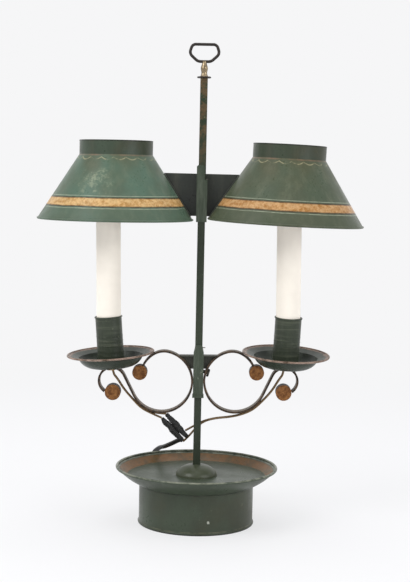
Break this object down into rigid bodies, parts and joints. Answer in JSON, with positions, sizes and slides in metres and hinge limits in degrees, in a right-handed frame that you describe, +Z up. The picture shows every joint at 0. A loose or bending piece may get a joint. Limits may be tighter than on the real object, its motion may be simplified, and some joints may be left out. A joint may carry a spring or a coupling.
{
  "type": "bouillotte lamp",
  "caption": "Painted sheet-metal table lamp: flared dish on a drum base, square stem, two scroll arms with candle cups and pans, and a pair of conical shades, both sliding in height.",
  "frame": {"origin": "middle of the base's underside, on the surface the lamp stands on", "axes": "+Z up along the stem, +X to the right arm, +Y to the back, seen from the front"},
  "size_m": [0.3572, 0.2677, 0.5278],
  "materials": {
    "green_tole": "satin, worn",
    "dark_tole": "satin",
    "worn_iron": "worn paint over iron",
    "gilt_iron": "aged gilt",
    "ballast_iron": "as cast",
    "plain_steel": "plain",
    "brass": "aged",
    "socket_resin": "matte",
    "candle_card": "matte",
    "bulb_glass": "clear",
    "lead_plastic": "gold, glossy",
    "black_tape": "matte",
    "flex_plastic": "satin",
    "black_plastic": "glossy"
  },
  "bodies": {
    "base": {"base_drum": "green_tole", "base_plate": "plain_steel", "base_ballast": "ballast_iron", "tray": "green_tole", "stem_dome": "green_tole", "stem": "green_tole", "stem_washer": "plain_steel", "stem_nut": "plain_steel", "finial_disc": "brass", "finial_baluster": "brass", "finial_ring": "worn_iron", "flex": "flex_plastic", "flex_ends": "flex_plastic", "flex_coil": "flex_plastic", "coil_tie": "black_plastic", "switch_case": "black_plastic", "plug_body": "black_plastic", "plug_pins": "brass"},
    "shade_carriage": {"shade_sleeve": "green_tole", "shade_plate": "dark_tole", "shade_spring": "plain_steel", "left_shade": "green_tole", "right_shade": "green_tole", "left_shade_collar": "green_tole", "right_shade_collar": "green_tole"},
    "shade_screw": {"shade_screw": "plain_steel"},
    "arm_carriage": {"arm_sleeve": "green_tole", "arm_spring": "plain_steel", "left_gusset": "green_tole", "left_scroll": "worn_iron", "left_inner_roundel": "gilt_iron", "left_outer_roundel": "gilt_iron", "left_pan": "green_tole", "left_cup": "green_tole", "left_nipple": "brass", "left_locknut": "brass", "left_lampholder": "socket_resin", "left_candle_sleeve": "candle_card", "left_bulb_cap": "brass", "left_bulb_glass": "bulb_glass", "left_lead": "lead_plastic", "right_gusset": "green_tole", "right_scroll": "worn_iron", "right_inner_roundel": "gilt_iron", "right_outer_roundel": "gilt_iron", "right_pan": "green_tole", "right_cup": "green_tole", "right_nipple": "brass", "right_locknut": "brass", "right_lampholder": "socket_resin", "right_candle_sleeve": "candle_card", "right_bulb_cap": "brass", "right_bulb_glass": "bulb_glass", "right_lead": "lead_plastic", "splices": "black_tape"},
    "arm_screw": {"arm_screw": "plain_steel"},
    "switch_rocker": {"switch_rocker": "black_plastic"}
  },
  "joints": [
    {"name": "shade_slide", "type": "slide", "parent": "base", "child": "shade_carriage", "axis": [0, 0, 1], "range_m": [-0.08, 0.093]},
    {"name": "arm_slide", "type": "slide", "parent": "base", "child": "arm_carriage", "axis": [0, 0, 1], "range_m": [-0.024, 0.045], "deforming": ["flex"]},
    {"name": "shade_screw_turn", "type": "hinge", "parent": "shade_carriage", "child": "shade_screw", "pos_m": [0, 0.0066, 0.357], "axis": [0, 1, 0], "range_deg": [-360, 0]},
    {"name": "arm_screw_turn", "type": "hinge", "parent": "arm_carriage", "child": "arm_screw", "pos_m": [0.00811, 0, 0.16835], "axis": [0.9583, 0, -0.2857], "range_deg": [-360, 0]},
    {"name": "switch_rock", "type": "hinge", "parent": "base", "child": "switch_rocker", "pos_m": [-0.004, 0.166, 0.01368], "axis": [0, 1, 0], "range_deg": [-7, 7]}
  ]
}
